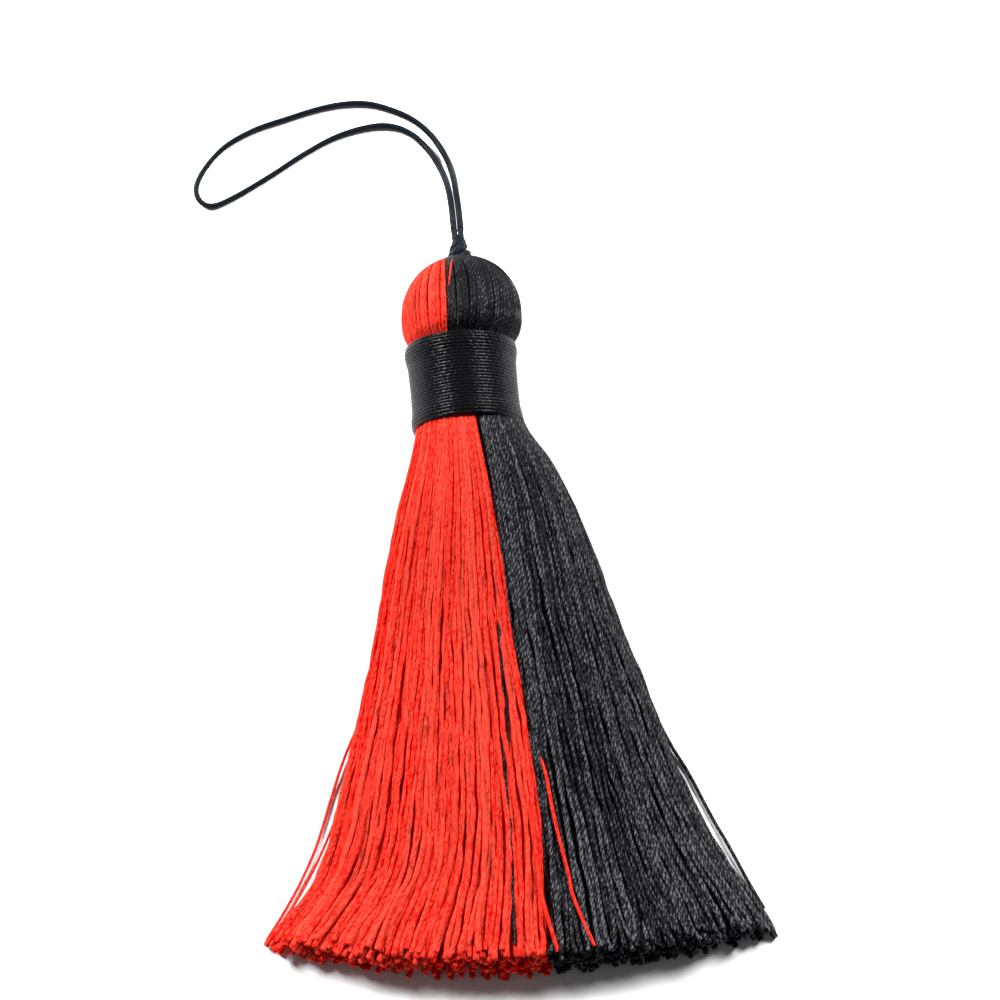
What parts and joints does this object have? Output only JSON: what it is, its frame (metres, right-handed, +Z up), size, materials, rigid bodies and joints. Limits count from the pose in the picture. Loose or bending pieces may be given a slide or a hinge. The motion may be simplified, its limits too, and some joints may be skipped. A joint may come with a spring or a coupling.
{
  "type": "tassel",
  "caption": "Silk thread tassel, half red and half black, with a bound neck, a knot on its head and a thin hanging loop; it lies on its back on a surface.",
  "frame": {"origin": "centre of the footprint of the tassel without its loop, on the surface that it lies on", "axes": "+Y from the cut thread ends towards the head and its knot, +Z up from the surface, +X towards the black half"},
  "size_m": [0.0603, 0.1058, 0.0137],
  "materials": {
    "red_silk_thread": "satin",
    "black_silk_thread": "satin",
    "black_binding_thread": "satin",
    "black_knot_cord": "satin",
    "black_waxed_cord": "satin"
  },
  "bodies": {
    "root": {"red_thread_bundle": "red_silk_thread", "black_thread_bundle": "black_silk_thread", "neck_binding": "black_binding_thread", "hanging_knot": "black_knot_cord", "hanging_loop": "black_waxed_cord"}
  },
  "joints": []
}
